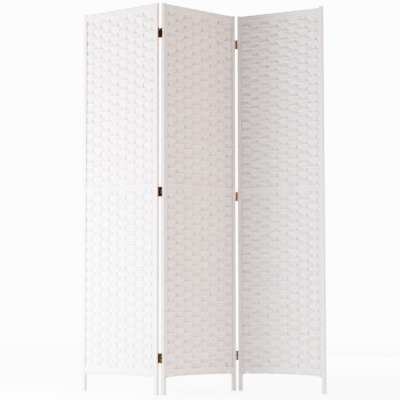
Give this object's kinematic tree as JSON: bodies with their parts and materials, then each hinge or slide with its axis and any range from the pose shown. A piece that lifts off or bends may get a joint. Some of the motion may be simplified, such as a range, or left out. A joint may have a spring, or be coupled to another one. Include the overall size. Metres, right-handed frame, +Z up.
{
  "type": "folding screen",
  "caption": "Tall folding screen of slim white posts and panels woven from flat bands of paper cord, hinged in a zigzag.",
  "frame": {"origin": "the middle of the footprint of the screen as it stands in its zigzag, on the floor", "axes": "+Z up, -Y the front that the picture shows, +X to the right of that front"},
  "size_m": [1.118, 0.2902, 1.784],
  "materials": {
    "woven_cord": "matte twisted paper cord, woven, painted white",
    "painted_post": "smooth white satin paint",
    "bare_wood": "plain unpainted softwood",
    "brass": "dark antique brass plate"
  },
  "bodies": {
    "centre_panel": {"centre_panel_bottom_rail": "bare_wood", "centre_panel_left_post": "painted_post", "centre_panel_middle_rail": "bare_wood", "centre_panel_right_post": "painted_post", "centre_panel_slat_1": "bare_wood", "centre_panel_slat_2": "bare_wood", "centre_panel_slat_3": "bare_wood", "centre_panel_slat_4": "bare_wood", "centre_panel_slat_5": "bare_wood", "centre_panel_slat_6": "bare_wood", "centre_panel_slat_7": "bare_wood", "centre_panel_slat_8": "bare_wood", "centre_panel_top_rail": "bare_wood", "centre_panel_weave": "woven_cord", "first_bottom_hinge_leaf_centre": "brass", "first_bottom_hinge_pin": "brass", "first_middle_hinge_leaf_centre": "brass", "first_middle_hinge_pin": "brass", "first_top_hinge_leaf_centre": "brass", "first_top_hinge_pin": "brass", "second_bottom_hinge_leaf_centre": "brass", "second_bottom_hinge_pin": "brass", "second_middle_hinge_leaf_centre": "brass", "second_middle_hinge_pin": "brass", "second_top_hinge_leaf_centre": "brass", "second_top_hinge_pin": "brass"},
    "left_panel": {"first_bottom_hinge_leaf_left": "brass", "first_middle_hinge_leaf_left": "brass", "first_top_hinge_leaf_left": "brass", "left_panel_bottom_rail": "bare_wood", "left_panel_left_post": "painted_post", "left_panel_middle_rail": "bare_wood", "left_panel_right_post": "painted_post", "left_panel_slat_1": "bare_wood", "left_panel_slat_2": "bare_wood", "left_panel_slat_3": "bare_wood", "left_panel_slat_4": "bare_wood", "left_panel_slat_5": "bare_wood", "left_panel_slat_6": "bare_wood", "left_panel_slat_7": "bare_wood", "left_panel_slat_8": "bare_wood", "left_panel_top_rail": "bare_wood", "left_panel_weave": "woven_cord"},
    "right_panel": {"right_panel_bottom_rail": "bare_wood", "right_panel_left_post": "painted_post", "right_panel_middle_rail": "bare_wood", "right_panel_right_post": "painted_post", "right_panel_slat_1": "bare_wood", "right_panel_slat_2": "bare_wood", "right_panel_slat_3": "bare_wood", "right_panel_slat_4": "bare_wood", "right_panel_slat_5": "bare_wood", "right_panel_slat_6": "bare_wood", "right_panel_slat_7": "bare_wood", "right_panel_slat_8": "bare_wood", "right_panel_top_rail": "bare_wood", "right_panel_weave": "woven_cord", "second_bottom_hinge_leaf_right": "brass", "second_middle_hinge_leaf_right": "brass", "second_top_hinge_leaf_right": "brass"}
  },
  "joints": [
    {"name": "first_junction", "type": "hinge", "parent": "centre_panel", "child": "left_panel", "pos_m": [-0.19721, -0.13162, 0], "axis": [0, 0, 1], "range_deg": [-103, 77]},
    {"name": "second_junction", "type": "hinge", "parent": "centre_panel", "child": "right_panel", "pos_m": [0.1697, 0.12982, 0], "axis": [0, 0, 1], "range_deg": [-109.5, 70.5]}
  ]
}
